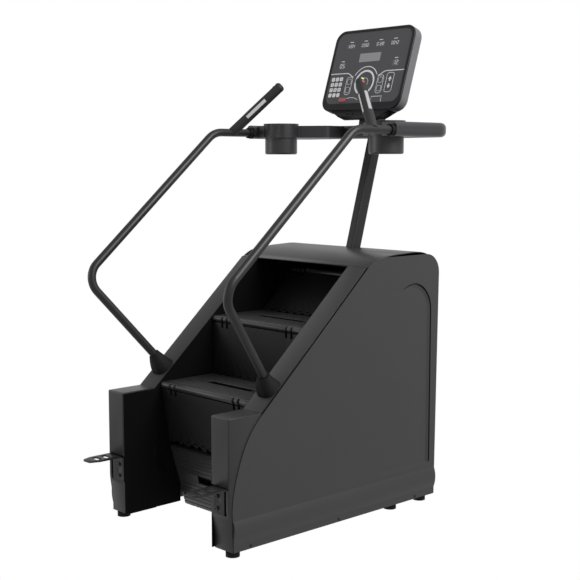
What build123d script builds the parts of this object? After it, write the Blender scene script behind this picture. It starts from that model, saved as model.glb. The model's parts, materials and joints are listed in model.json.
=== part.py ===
"""Stair climber: a revolving staircase between two casings, with handrails and a console on a mast.

Millimetres, +Z up. The user walks in along +Y. The row's origin is on the floor, under the middle
of the whole machine. Side outlines are drawn in (depth, height), with depth counted from the front
face of the entry posts.
"""

import math
import os

from build123d import *

os.makedirs("parts", exist_ok=True)

# Driving dimensions
ENTRY_Y = -575.78  # the entry posts' front face, in the row's frame
HALF_WIDTH = 400.0  # outer face of a side panel
POST_WIDTH = 110.0  # width of an entry post and of the sloping cap above it
POST_DEPTH = 168.0
POST_TOP = 554.0
CASING_BOTTOM = 25.0
CASING_TOP = 1118.0
CASING_DEPTH = 1219.0
SHEET = 3.0  # moulded and pressed covers
STEP_RUN = 294.0
STEP_RISE = 262.0
STEP_HALF = 284.0  # half the width of a tread
AXIS_INSET = 14.0  # hinge axes lie this far inside a tread's faces
TUBE_R = 18.0  # handrail tube
RAIL_TOP = 1655.0  # height of the level handrail
CONSOLE_W = 490.0
CONSOLE_H = 397.0
CONSOLE_T = 66.0
LEAN = 18.0  # the console leans back, degrees
MAST_LEAN = 16.0
SPROCKET_R = 84.0
SHAFT_R = 15.0
RUNNING_FIT = 0.05
GAP = 0.4  # between bodies that move past each other

# Worked out from those
INNER_X = HALF_WIDTH - POST_WIDTH
SLOPE = math.atan2(STEP_RISE, STEP_RUN)
UP_Y = math.cos(SLOPE)
UP_Z = math.sin(SLOPE)


def side_plane(x):
    """Plane square to X at x: its x is depth behind the entry face and its y is height."""
    return Plane(origin=(x, ENTRY_Y, 0), x_dir=(0, 1, 0), z_dir=(1, 0, 0))


def at(x, depth, height):
    """A point in the row's frame."""
    return Vector(x, ENTRY_Y + depth, height)


def slope_height(depth, drop=0.0):
    """Height of the cap strip's top face at a depth, or of a line `drop` below it, square to it."""
    return POST_TOP + (depth - POST_DEPTH) * UP_Z / UP_Y - drop / UP_Y


def save(shape, name):
    """Labels a finished piece and writes it."""
    shape.label = name
    export_step(shape, f"parts/{name}.step")


def save_pair(shape, name):
    """Writes a right-hand piece and its mirror image."""
    save(mirror(shape, about=Plane.YZ), f"{name}_left")
    save(shape, f"{name}_right")


def save_both(shape, name):
    """Writes a right-hand piece and its mirror image as one group."""
    save(Compound(children=[shape, mirror(shape, about=Plane.YZ)]), name)


# ---------------------------------------------------------------- welded frame
RAIL_IN = 330.0
RAIL_WIDE = 60.0
RAIL_Z = 28.0
RAIL_TALL = 60.0
UPRIGHT_DEPTH = 1155.0
BEAM_Z = 1035.0
BEAM_TALL = 55.0
FOOT_R = 28.0

with BuildPart() as frame_rail:
    with BuildSketch(Plane.XZ.offset(-ENTRY_Y - 21)):
        with Locations((RAIL_IN + RAIL_WIDE / 2, RAIL_Z + RAIL_TALL / 2)):
            RectangleRounded(RAIL_WIDE, RAIL_TALL, 6)
            RectangleRounded(RAIL_WIDE - 6, RAIL_TALL - 6, 3, mode=Mode.SUBTRACT)
    extrude(amount=-(CASING_DEPTH - 40))
save_both(frame_rail.part, "frame_rails")

with BuildPart() as frame_cross_members:
    for depth in (650, 1030):
        with Locations(at(0, depth, RAIL_Z + RAIL_TALL / 2)):
            Box(2 * RAIL_IN, 60, RAIL_TALL)
            Box(2 * RAIL_IN, 54, RAIL_TALL - 6, mode=Mode.SUBTRACT)
save(frame_cross_members.part, "frame_cross_members")

LOWER_AXIS = (389.0, 280.5)  # depth and height of the lower sprocket shaft
UPPER_AXIS = (945.5, 776.0)
BEARING_IN = 300.0
BEARING_WIDE = 30.0
BEARING_HALF = 40.0

rail_top = RAIL_Z + RAIL_TALL
TUBE_WALL = 3.0
ENTRY_POST = (50.0, 60.0)  # box sections, width by depth
UPRIGHT = (40.0, 50.0)
ENTRY_POST_TOP = 500.0
BLOCK_FOOT_Z = 40.0  # the lower bearing stands on a strut welded beside the rail
bearing_x = BEARING_IN + BEARING_WIDE / 2
arm_front = UPPER_AXIS[0] + BEARING_HALF
arm_back = UPRIGHT_DEPTH + UPRIGHT[1] / 2
strut_top = LOWER_AXIS[1] - BEARING_HALF

with BuildPart() as frame_posts:
    with BuildSketch(Plane.XY.offset(rail_top)):
        with Locations(at(350, 90, 0)):
            Rectangle(*ENTRY_POST)
            Rectangle(ENTRY_POST[0] - 2 * TUBE_WALL, ENTRY_POST[1] - 2 * TUBE_WALL, mode=Mode.SUBTRACT)
    extrude(amount=ENTRY_POST_TOP - rail_top)
    with BuildSketch(Plane.XY.offset(rail_top)):
        with Locations(at(350, UPRIGHT_DEPTH, 0)):
            Rectangle(*UPRIGHT)
            Rectangle(UPRIGHT[0] - 2 * TUBE_WALL, UPRIGHT[1] - 2 * TUBE_WALL, mode=Mode.SUBTRACT)
    extrude(amount=BEAM_Z - rail_top)
    with BuildSketch(Plane.XY.offset(BLOCK_FOOT_Z)):
        with Locations(at(bearing_x, LOWER_AXIS[0], 0)):
            Rectangle(BEARING_WIDE, UPRIGHT[1])
            Rectangle(BEARING_WIDE - 2 * TUBE_WALL, UPRIGHT[1] - 2 * TUBE_WALL, mode=Mode.SUBTRACT)
    extrude(amount=strut_top - BLOCK_FOOT_Z)
    with BuildSketch(Plane(at(bearing_x, arm_front, UPPER_AXIS[1]), x_dir=(1, 0, 0), z_dir=(0, 1, 0))):
        Rectangle(BEARING_WIDE, UPRIGHT[1])
        Rectangle(BEARING_WIDE - 2 * TUBE_WALL, UPRIGHT[1] - 2 * TUBE_WALL, mode=Mode.SUBTRACT)
    extrude(amount=arm_back - arm_front)
save_both(frame_posts.part, "frame_posts")

STRINGER_WIDE = 70.0
STRINGER_DROP = (70.0, 110.0)  # its top and bottom faces, square below the cap strip
beam_front = UPRIGHT_DEPTH - 100.2

with BuildPart() as frame_stringer:
    with BuildSketch(side_plane(BEARING_IN)) as stringer_outline:
        with BuildLine():
            Polyline(
                (120, slope_height(120, STRINGER_DROP[0])),
                (850, slope_height(850, STRINGER_DROP[0])),
                (beam_front, BEAM_Z + 40),
                (beam_front, BEAM_Z + 4),
                (870, slope_height(870, STRINGER_DROP[1])),
                (120, slope_height(120, STRINGER_DROP[1])),
                close=True,
            )
        make_face()
    extrude(amount=STRINGER_WIDE)
    with BuildSketch(side_plane(BEARING_IN + TUBE_WALL)):
        add(stringer_outline.sketch_local)
        offset(amount=-TUBE_WALL, kind=Kind.INTERSECTION, mode=Mode.REPLACE)
    extrude(amount=STRINGER_WIDE - 2 * TUBE_WALL, mode=Mode.SUBTRACT)
save_both(frame_stringer.part, "frame_stringers")

BEAM_LONG = 740.0
BEAM_DEEP = 120.0
beam_end = at(-BEAM_LONG / 2, UPRIGHT_DEPTH - 40, BEAM_Z + BEAM_TALL / 2)

with BuildPart() as mast_beam:
    with BuildSketch(Plane(beam_end, x_dir=(0, 1, 0), z_dir=(1, 0, 0))):
        RectangleRounded(BEAM_DEEP, BEAM_TALL, 6)
        RectangleRounded(BEAM_DEEP - 2 * TUBE_WALL, BEAM_TALL - 2 * TUBE_WALL, 3, mode=Mode.SUBTRACT)
    extrude(amount=BEAM_LONG)
save(mast_beam.part, "mast_beam")

# ---------------------------------------------------------------- casings
GROOVE = 8.0  # shadow gap between the cap strip and the side panel
RIDGE_OUT = 10.0
TOP_R = 165.0
REAR_R = 85.0
REAR_TOP = (1235.0, CASING_TOP)
REAR_BOTTOM = (1216.0, CASING_BOTTOM)


def panel_edge(depth):
    """A point on the side panel's sloping edge, below the shadow gap."""
    return (depth, slope_height(depth, GROOVE))


shoulder = POST_DEPTH + (CASING_TOP - slope_height(POST_DEPTH, GROOVE)) * UP_Y / UP_Z


with BuildPart() as side_panel:
    with BuildSketch(side_plane(HALF_WIDTH - SHEET)) as panel_outline:
        with BuildLine():
            Polyline(panel_edge(171), (shoulder, CASING_TOP), REAR_TOP, REAR_BOTTOM, (20, CASING_BOTTOM), (20, 99))
            Spline((20, 99), (15, 170), (54, 368), panel_edge(171), tangents=((0, 1), (UP_Y, UP_Z)))
        make_face()
        fillet(panel_outline.vertices().sort_by_distance((shoulder, CASING_TOP))[0], radius=TOP_R)
        fillet(panel_outline.vertices().sort_by_distance(REAR_TOP)[0], radius=REAR_R)
    extrude(amount=SHEET)
    with BuildSketch(Plane(at(HALF_WIDTH, 19, 0), x_dir=(1, 0, 0), z_dir=(0, 1, 0))):
        with BuildLine():
            crest = ThreePointArc((0, -150), (RIDGE_OUT, -100), (0, -56))
            Line(crest @ 1, crest @ 0)
        make_face()
    extrude(amount=REAR_BOTTOM[0] - 19)
save_pair(side_panel.part, "side_panel")

BOLT_HEIGHTS = (192.0, 240.0)
BOLT_X = 325.0
BRACKET_POCKET = (INNER_X, 380.0, 169.0, 284.0)  # x from, x to, height from, height to

with BuildPart() as post_cover:
    with BuildSketch(side_plane(INNER_X)) as post_side:
        with BuildLine():
            Polyline(
                (0, POST_TOP),
                (POST_DEPTH - 0.2, POST_TOP),
                (POST_DEPTH - 0.2, CASING_BOTTOM),
                (17, CASING_BOTTOM),
                (17, 76),
                (0, 191),
                close=True,
            )
        make_face()
        fillet(post_side.vertices().sort_by_distance((0, POST_TOP))[0], radius=6)
    extrude(amount=POST_WIDTH - SHEET - 0.3)
    corner = post_cover.edges().filter_by(Axis.Z).group_by(Axis.Y)[0]
    fillet(corner, radius=6)
    with BuildSketch(side_plane(INNER_X + SHEET)):
        with BuildLine():
            Polyline(
                (20, POST_TOP - SHEET),
                (POST_DEPTH, POST_TOP - SHEET),
                (POST_DEPTH, CASING_BOTTOM),
                (20, CASING_BOTTOM),
                close=True,
            )
        make_face()
    extrude(amount=POST_WIDTH - 3 * SHEET - 0.3, mode=Mode.SUBTRACT)
    with BuildSketch(Plane.XZ.offset(-ENTRY_Y)):
        with Locations(((BRACKET_POCKET[0] + BRACKET_POCKET[1]) / 2, (BRACKET_POCKET[2] + BRACKET_POCKET[3]) / 2)):
            Rectangle(BRACKET_POCKET[1] - BRACKET_POCKET[0], BRACKET_POCKET[3] - BRACKET_POCKET[2])
    extrude(amount=-8, mode=Mode.SUBTRACT)
    with BuildSketch(Plane.XZ.offset(-ENTRY_Y)):
        with Locations(*[(BOLT_X, height) for height in BOLT_HEIGHTS]):
            Circle(5.2)
    extrude(amount=-30, mode=Mode.SUBTRACT)
save_pair(post_cover.part, "post_cover")

CAP_END = 761.0

with BuildPart() as band_cap:
    with BuildSketch(side_plane(INNER_X)):
        with BuildLine():
            Polyline(
                (POST_DEPTH, POST_TOP),
                (CAP_END, slope_height(CAP_END)),
                (CAP_END + GROOVE * UP_Z, slope_height(CAP_END) - GROOVE * UP_Y),
                (POST_DEPTH + 2, slope_height(POST_DEPTH + 2, GROOVE)),
                (POST_DEPTH, POST_TOP - GROOVE),
                close=True,
            )
        make_face()
    extrude(amount=POST_WIDTH - 2)
    outer_edge = band_cap.edges().filter_by(GeomType.LINE).filter_by(Plane.YZ).sort_by(Edge.length)[-4:]
    fillet(outer_edge.group_by(Axis.Z)[-1].group_by(Axis.X)[-1], radius=5)
    with BuildSketch(side_plane(INNER_X)):
        with BuildLine():
            Polyline(
                (POST_DEPTH + 2, slope_height(POST_DEPTH + 2, GROOVE)),
                (CAP_END, slope_height(CAP_END, GROOVE)),
                (CAP_END, slope_height(CAP_END, 40)),
                (POST_DEPTH + 2, slope_height(POST_DEPTH + 2, 40)),
                close=True,
            )
        make_face()
    extrude(amount=POST_WIDTH - 12)
    with BuildSketch(side_plane(INNER_X + SHEET)):
        with BuildLine():
            Polyline(
                (POST_DEPTH, slope_height(POST_DEPTH, GROOVE - 2)),
                (CAP_END + 30, slope_height(CAP_END + 30, GROOVE - 2)),
                (CAP_END + 30, slope_height(CAP_END + 30, 60)),
                (POST_DEPTH, slope_height(POST_DEPTH, 60)),
                close=True,
            )
        make_face()
    extrude(amount=POST_WIDTH - 12 - 2 * SHEET, mode=Mode.SUBTRACT)
save_pair(band_cap.part, "band_cap")

WALL_DEPTH = 250.0  # the inner wall reaches this far below the cap strip

with BuildPart() as inner_wall:
    with BuildSketch(side_plane(INNER_X - SHEET)):
        with BuildLine():
            Polyline(
                (4, CASING_BOTTOM + 3),
                (4, POST_TOP - 4),
                (POST_DEPTH - 2, POST_TOP - 4),
                (CAP_END, slope_height(CAP_END, 5)),
                (CAP_END + 110, CASING_TOP - 14),
                (CAP_END + 165, slope_height(CAP_END + 165, WALL_DEPTH)),
                (300, slope_height(300, WALL_DEPTH)),
                (300, CASING_BOTTOM + 3),
                close=True,
            )
        make_face()
        with BuildLine():
            ThreePointArc((189, 356), (163, 281), (219, 169))
            Line((219, 169), (189, 356))
        make_face(mode=Mode.SUBTRACT)
    extrude(amount=SHEET)
save_pair(inner_wall.part, "inner_wall")

TOP_HALF = HALF_WIDTH - SHEET - 0.3
MAST_TUBE = (43.0, 60.0)
MAST_FOOT = (1095.0, 1118.0)  # centre of the mast where it leaves the top cover
mast_dir = Vector(0, math.sin(math.radians(MAST_LEAN)), math.cos(math.radians(MAST_LEAN)))

with BuildPart() as top_cover:
    with BuildSketch(side_plane(-TOP_HALF)):
        with BuildLine():
            nose = Line((CAP_END + 2, slope_height(CAP_END + 2)), (798, 1090))
            crown = Spline(nose @ 1, (887, 1120), (1020, 1130), (1147, 1121), (1196, 1092))
            Line(crown @ 1, (1194, 1088))
            Spline((1194, 1088), (1146, 1117), (1020, 1126), (888, 1116), (799, 1086))
            Line((799, 1086), (764, slope_height(764) - 5))
            Line((764, slope_height(764) - 5), nose @ 0)
        make_face()
    extrude(amount=2 * TOP_HALF)
    with BuildSketch(Plane(at(0, *MAST_FOOT), x_dir=(1, 0, 0), z_dir=mast_dir).offset(-60)):
        Rectangle(MAST_TUBE[0] + 6, MAST_TUBE[1] + 6)
    extrude(amount=120, mode=Mode.SUBTRACT)
save(top_cover.part, "top_cover")

INLET = (-180.0, 120.0)  # x and height of the mains inlet in the rear cover

with BuildPart() as rear_cover:
    with BuildSketch(side_plane(-TOP_HALF)):
        with BuildLine():
            Polyline((1210, CASING_BOTTOM), (1226, 1040))
            ThreePointArc((1226, 1040), (1217, 1072), (1198, 1091))
            Line((1198, 1091), (1195, 1088))
            ThreePointArc((1195, 1088), (1213, 1070), (1222, 1040))
            Polyline((1222, 1040), (1206, CASING_BOTTOM), (1210, CASING_BOTTOM))
        make_face()
    extrude(amount=2 * TOP_HALF)
    with Locations(at(INLET[0], 1210, INLET[1])):
        Box(34, 30, 28, mode=Mode.SUBTRACT)
save(rear_cover.part, "rear_cover")

with BuildPart() as power_inlet:
    with Locations(at(INLET[0], 1199, INLET[1])):
        Box(33, 26, 27)
    with Locations(at(INLET[0], 1205, INLET[1])):
        Box(26, 20, 18, mode=Mode.SUBTRACT)
    with Locations((Pos(at(INLET[0], 1193, INLET[1]))) * Rot(X=90)):
        with GridLocations(8, 6, 2, 1):
            Box(2, 6, 12)
save(power_inlet.part, "power_inlet")

# ---------------------------------------------------------------- handrails and mast
BOOT_FOOT = (343.0, 253.0, 643.0)
HANDRAIL_X = 442.0
HANDRAIL_ROUTE = [
    (BOOT_FOOT[0], BOOT_FOOT[1], BOOT_FOOT[2]),
    (450, -72, 1037),
    (HANDRAIL_X, 638, RAIL_TOP),
    (HANDRAIL_X, 1218, RAIL_TOP),
    (24, 1218, RAIL_TOP),
]
ROUTE_RADII = [85, 110, 70]
BOOT_TALL = 62.0

with BuildPart() as handrail:
    with BuildLine():
        route = FilletPolyline(*[at(*p) for p in HANDRAIL_ROUTE], radius=ROUTE_RADII)
    with BuildSketch(Plane(route @ 0, z_dir=route % 0)):
        Circle(TUBE_R)
        Circle(TUBE_R - 3, mode=Mode.SUBTRACT)
    sweep()
save_pair(handrail.part, "handrail")

rail_start = at(*BOOT_FOOT)
rail_direction = (at(*HANDRAIL_ROUTE[1]) - rail_start).normalized()
slope_normal = Vector(0, -UP_Z, UP_Y)
boot_base = at(345, 253, slope_height(253)) + slope_normal * 0.2

with BuildPart() as rail_boot:
    with BuildSketch(Plane(boot_base, x_dir=(1, 0, 0), z_dir=slope_normal)):
        RectangleRounded(104, 92, 40)
    with BuildSketch(Plane(boot_base + slope_normal * 14, x_dir=(1, 0, 0), z_dir=slope_normal)):
        RectangleRounded(98, 84, 38)
    with BuildSketch(Plane(rail_start + rail_direction * BOOT_TALL, x_dir=(1, 0, 0), z_dir=rail_direction)):
        Circle(TUBE_R + 6)
    loft(ruled=False)
    with BuildSketch(Plane(rail_start - rail_direction * 60, z_dir=rail_direction)):
        Circle(TUBE_R + 0.2)
    extrude(amount=200, mode=Mode.SUBTRACT)
save_both(rail_boot.part, "rail_boots")

BAR_START = 861.0
BAR_Z = 1659.0

with BuildPart() as crossbar_housing:
    with BuildLine():
        bar_route = FilletPolyline(
            at(HANDRAIL_X, BAR_START, BAR_Z),
            at(HANDRAIL_X, 1218, BAR_Z),
            at(-HANDRAIL_X, 1218, BAR_Z),
            at(-HANDRAIL_X, BAR_START, BAR_Z),
            radius=70,
        )
    with BuildSketch(Plane(bar_route @ 0, x_dir=(1, 0, 0), z_dir=bar_route % 0)):
        RectangleRounded(54, 62, 22)
        with Locations((0, BAR_Z - RAIL_TOP)):
            Circle(TUBE_R + 0.2, mode=Mode.SUBTRACT)
    sweep()
    with BuildSketch(Plane.XY.offset(BAR_Z - 31)):
        with Locations(at(0, 1252, 0)):
            RectangleRounded(130, 56, 8)
    extrude(amount=62)
    with BuildSketch(Plane(at(70, 1218, RAIL_TOP), x_dir=(0, 1, 0), z_dir=(-1, 0, 0))):
        Circle(TUBE_R + 0.2)
    extrude(amount=140, mode=Mode.SUBTRACT)
save(crossbar_housing.part, "crossbar_housing")

with BuildPart() as rail_collar:
    with BuildSketch(Plane(at(HANDRAIL_X, BAR_START - 18, RAIL_TOP), x_dir=(1, 0, 0), z_dir=(0, 1, 0))):
        Circle(TUBE_R + 7)
        Circle(TUBE_R + 0.2, mode=Mode.SUBTRACT)
    extrude(amount=17.8)
    fillet(rail_collar.edges().filter_by(GeomType.CIRCLE).group_by(SortBy.RADIUS)[-1], radius=2)
save_both(rail_collar.part, "rail_collars")

MAST_HEAD_Z = BAR_Z - 31.3
mast_start = at(0, *MAST_FOOT) - mast_dir * 45
mast_long = (MAST_HEAD_Z - mast_start.Z) / mast_dir.Z + 12

with BuildPart() as mast:
    with BuildSketch(Plane(mast_start, x_dir=(1, 0, 0), z_dir=mast_dir)):
        RectangleRounded(*MAST_TUBE, 8)
        RectangleRounded(MAST_TUBE[0] - 6, MAST_TUBE[1] - 6, 5, mode=Mode.SUBTRACT)
    extrude(amount=mast_long)
    split(bisect_by=Plane.XY.offset(MAST_HEAD_Z), keep=Keep.BOTTOM)
    split(bisect_by=Plane.XY.offset(BEAM_Z + BEAM_TALL + 0.2), keep=Keep.TOP)
save(mast.part, "mast")

# ---------------------------------------------------------------- cup holders with accessory trays
CUP_X = 330.0
CUP_DEPTH = 952.0
CUP_R = 75.0
CUP_BOTTOM = 1555.0
CUP_RIM = 1697.0
WALL = 4.0
TRAY_FLOOR = 1645.0

with BuildPart() as cup_tray:
    with BuildSketch(Plane.XY.offset(1632)) as plan:
        with BuildLine():
            Polyline(
                at(414.5, 880, 0),
                at(414.5, 1190.5, 0),
                at(150, 1190.5, 0),
                at(150, 1080, 0),
                at(262, 1010, 0),
                at(262, 880, 0),
                close=True,
            )
        make_face()
        with Locations(at(CUP_X, CUP_DEPTH, 0)):
            Circle(CUP_R + 7)
        fillet(plan.vertices().sort_by_distance(at(150, 1080, 0))[0], radius=30)
        fillet(plan.vertices().sort_by_distance(at(414.5, 1190.5, 0))[0], radius=46)
    extrude(amount=56)
    with BuildSketch(Plane.XY.offset(1632)):
        with Locations(at(CUP_X, CUP_DEPTH, 0)):
            Circle(CUP_R + 7)
    extrude(amount=CUP_RIM - 1632)
    with BuildSketch(Plane.XY.offset(CUP_BOTTOM)):
        with Locations(at(CUP_X, CUP_DEPTH, 0)):
            Circle(CUP_R)
    extrude(amount=80)
    fillet(cup_tray.edges().group_by(Axis.Z)[0], radius=8)
    with BuildSketch(Plane.XY.offset(TRAY_FLOOR)) as tray_plan:
        with Locations(at(282, 1120, 0)):
            RectangleRounded(236, 100, 26)
    extrude(amount=80, mode=Mode.SUBTRACT)
    with BuildSketch(Plane.XY.offset(CUP_BOTTOM + WALL)):
        with Locations(at(CUP_X, CUP_DEPTH, 0)):
            Circle(CUP_R - WALL)
    extrude(amount=200, mode=Mode.SUBTRACT)
save_pair(cup_tray.part, "cup_tray")

# ---------------------------------------------------------------- pulse grips
GRIP_START = at(HANDRAIL_X, 744, RAIL_TOP)
GRIP_TIP = at(245, 876, 1868)
GRIP_R = 22.0
grip_dir = (GRIP_TIP - GRIP_START).normalized()
OUTWARD = Vector(1, -0.45, 0)  # keys and outer plate look outward and a little to the user
INWARD = Vector(-1, -1.2, 0)  # the inner plate looks inward and to the user
to_side = (OUTWARD - grip_dir * OUTWARD.dot(grip_dir)).normalized()
to_inner = (INWARD - grip_dir * INWARD.dot(grip_dir)).normalized()
grip_long = (GRIP_TIP - GRIP_START).length
KEY_R = 7.0
KEY_PLACES = {"grip_down_key": 34.0, "grip_up_key": 15.0}  # distance from the tip
grip_face = Plane(GRIP_START, x_dir=to_side, z_dir=grip_dir)
plate_faces = (grip_face, Plane(GRIP_START, x_dir=to_inner, z_dir=grip_dir))
PLATE_FROM = 104.0
PLATE_TO = 222.0
PLATE_WIDE = 15.0

with BuildPart() as grip:
    with BuildSketch(grip_face):
        Circle(GRIP_R)
    extrude(amount=grip_long)
    fillet(grip.faces().sort_by(Axis(GRIP_START, grip_dir))[-1].edges(), radius=12)
    with BuildSketch(Plane(at(HANDRAIL_X, 500, RAIL_TOP), x_dir=(1, 0, 0), z_dir=(0, 1, 0))):
        Circle(TUBE_R + 0.2)
    extrude(amount=500, mode=Mode.SUBTRACT)
    for plate_face in plate_faces:
        with BuildSketch(plate_face.offset(PLATE_FROM)):
            with Locations((GRIP_R, 0)):
                Rectangle(9, PLATE_WIDE + 1)
        extrude(amount=PLATE_TO - PLATE_FROM, mode=Mode.SUBTRACT)
    for from_tip in KEY_PLACES.values():
        seat = Plane(GRIP_TIP - grip_dir * from_tip + to_side * (GRIP_R - 7), z_dir=to_side)
        with BuildSketch(seat):
            Circle(KEY_R + GAP)
        extrude(amount=20, mode=Mode.SUBTRACT)
save_pair(grip.part.solids().sort_by(SortBy.VOLUME)[-1], "grip")

with BuildPart() as contact_plate:
    for plate_face in plate_faces:
        with BuildSketch(plate_face.offset(PLATE_FROM + 0.5)):
            Circle(GRIP_R + 1)
            Circle(GRIP_R - 3, mode=Mode.SUBTRACT)
            with Locations((GRIP_R, 0)):
                Rectangle(9, PLATE_WIDE, mode=Mode.INTERSECT)
        extrude(amount=PLATE_TO - PLATE_FROM - 1)
save_both(contact_plate.part, "contact_plates")

for name, from_tip in KEY_PLACES.items():
    with BuildPart() as grip_key:
        with BuildSketch(Plane(GRIP_TIP - grip_dir * from_tip + to_side * (GRIP_R - 4.6), z_dir=to_side)):
            Circle(KEY_R)
        extrude(amount=6.2)
        fillet(grip_key.faces().sort_by(Axis(GRIP_TIP, to_side))[-1].edges(), radius=1.5)
    save_pair(grip_key.part, name)

# ---------------------------------------------------------------- console
lean_sin = math.sin(math.radians(LEAN))
lean_cos = math.cos(math.radians(LEAN))
console_face = Plane(at(0, 1183.5, 1946.5), x_dir=(1, 0, 0), z_dir=(0, -lean_cos, lean_sin))
CORNER_R = 55.0
BEZEL_T = 8.0
WINDOW_W = 462.0
WINDOW_H = 350.0
WINDOW_R = 44.0
WINDOW_RISE = 10.0
STOP_KEY = (-116.0, -146.0)
STOP_SIZE = (44.0, 20.0)

with BuildPart() as console_housing:
    with BuildSketch(console_face.offset(-BEZEL_T - 0.2)):
        RectangleRounded(CONSOLE_W, CONSOLE_H, CORNER_R)
    extrude(amount=-(CONSOLE_T - BEZEL_T))
    fillet(console_housing.faces().sort_by(Axis((0, 0, 0), console_face.z_dir))[0].edges(), radius=24)
    with BuildSketch(console_face.offset(-BEZEL_T)):
        RectangleRounded(CONSOLE_W - 8, CONSOLE_H - 8, CORNER_R - 4)
    extrude(amount=-(CONSOLE_T - BEZEL_T - 26), mode=Mode.SUBTRACT)
    with BuildSketch(console_face.offset(-BEZEL_T)):
        RectangleRounded(CONSOLE_W - 56, CONSOLE_H - 56, CORNER_R - 28)
    extrude(amount=-(CONSOLE_T - BEZEL_T - 4), mode=Mode.SUBTRACT)
save(console_housing.part, "console_housing")

with BuildPart() as console_bezel:
    with BuildSketch(console_face.offset(-BEZEL_T)):
        RectangleRounded(CONSOLE_W, CONSOLE_H, CORNER_R)
        with Locations((0, WINDOW_RISE)):
            RectangleRounded(WINDOW_W, WINDOW_H, WINDOW_R, mode=Mode.SUBTRACT)
    extrude(amount=BEZEL_T)
    fillet(console_bezel.faces().sort_by(Axis((0, 0, 0), console_face.z_dir))[-1].outer_wire().edges(), radius=5)
save(console_bezel.part, "console_bezel")

DISPLAYS = {
    "time": (-136, 118, 50, 22),
    "distance": (-47, 118, 50, 22),
    "heart": (47, 118, 50, 22),
    "floors": (136, 118, 50, 22),
    "matrix": (0, 56, 134, 46),
    "speed": (-166, 22, 40, 30),
    "level": (166, 22, 40, 30),
}

with BuildPart() as console_panel:
    with BuildSketch(console_face.offset(-6)):
        with Locations((0, WINDOW_RISE)):
            RectangleRounded(WINDOW_W - 0.4, WINDOW_H - 0.4, WINDOW_R)
        for x, y, wide, tall in DISPLAYS.values():
            with Locations((x, y)):
                Rectangle(wide, tall, mode=Mode.SUBTRACT)
        with Locations(STOP_KEY):
            RectangleRounded(STOP_SIZE[0] + 2 * GAP, STOP_SIZE[1] + 2 * GAP, 6, mode=Mode.SUBTRACT)
    extrude(amount=3.5)
save(console_panel.part, "console_panel")

with BuildPart() as display_windows:
    with BuildSketch(console_face.offset(-6)):
        for x, y, wide, tall in DISPLAYS.values():
            with Locations((x, y)):
                Rectangle(wide - 0.2, tall - 0.2)
    extrude(amount=3)
save(display_windows.part, "display_windows")

with BuildPart() as stop_key:
    with BuildSketch(console_face.offset(-6)):
        with Locations(STOP_KEY):
            RectangleRounded(*STOP_SIZE, 6)
    extrude(amount=7)
    fillet(stop_key.faces().sort_by(Axis((0, 0, 0), console_face.z_dir))[-1].edges(), radius=1.5)
save(stop_key.part, "stop_key")

with BuildPart() as console_bracket:
    with BuildSketch(side_plane(-60)):
        with BuildLine():
            Polyline(
                (1194, BAR_Z + 31.3),
                (1243, BAR_Z + 31.3),
                (1262, 1840),
                (1217, 1840),
                close=True,
            )
        make_face()
    extrude(amount=120)
    with BuildSketch(console_face.offset(-CONSOLE_T - 0.4)):
        Rectangle(600, 700)
    extrude(amount=200, mode=Mode.SUBTRACT)
save(console_bracket.part, "console_bracket")

# ---------------------------------------------------------------- entry foot plates
PLATE_T = 7.0
PLATE_TOP = 280.0

with BuildPart() as entry_step:
    with Locations(at(330, 3.7, 222)):
        Box(76, PLATE_T, 102)
    with BuildSketch(Plane.XY.offset(PLATE_TOP - PLATE_T)):
        with BuildLine():
            Polyline(
                at(306, 7.2, 0),
                at(306, -105, 0),
                at(322, -150, 0),
                at(372, -150, 0),
                at(388, -105, 0),
                at(388, -0.6, 0),
                at(379, -0.6, 0),
                at(379, 7.2, 0),
                close=True,
            )
        make_face()
        with Locations(at(347, -98, 0)):
            RectangleRounded(48, 26, 5, mode=Mode.SUBTRACT)
        with Locations(at(347, -52, 0)):
            RectangleRounded(48, 26, 5, mode=Mode.SUBTRACT)
    extrude(amount=PLATE_T)
    fillet(entry_step.edges().filter_by(Axis.Z).group_by(Axis.Y)[0], radius=14)
    for height in BOLT_HEIGHTS:
        with Locations(Pos(at(BOLT_X, 0.2, height)) * Rot(X=90)):
            Hole(5.2, depth=20)
save_pair(entry_step.part, "entry_step")

with BuildPart() as bracket_bolts:
    for side in (-1, 1):
        for height in BOLT_HEIGHTS:
            with BuildSketch(Plane(at(side * BOLT_X, 30, height), x_dir=(1, 0, 0), z_dir=(0, -1, 0))):
                Circle(5)
            extrude(amount=29.8)
            with BuildSketch(Plane(at(side * BOLT_X, 0, height), x_dir=(1, 0, 0), z_dir=(0, -1, 0))):
                Circle(8.5)
                RegularPolygon(3.4, 6, mode=Mode.SUBTRACT)
            extrude(amount=5)
save(bracket_bolts.part, "bracket_bolts")

FEET_X = 361.0

with BuildPart() as levelling_feet:
    for side in (-1, 1):
        for depth in (48.0, 962.0, 1160.0):
            with Locations(at(side * FEET_X, depth, 9)):
                Cylinder(FOOT_R, 18)
            with Locations(at(side * FEET_X, depth, 23)):
                Cylinder(9, 10)
save(levelling_feet.part, "levelling_feet")

with BuildPart() as skirt_screws:
    for side in (-1, 1):
        for depth in (109.0, 600.0, 1087.0):
            with BuildSketch(Plane(at(side * (HALF_WIDTH + 0.1), depth, 36), x_dir=(0, 1, 0), z_dir=(side, 0, 0))):
                Circle(5.5)
                RegularPolygon(2.2, 6, mode=Mode.SUBTRACT)
            extrude(amount=2.4)
save(skirt_screws.part, "skirt_screws")

# ---------------------------------------------------------------- sprocket shafts, chains and drive
CHAIN_R = 98.0
CHAIN_T = 12.0
CHAIN_X = 262.0
TEETH = 14


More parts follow.
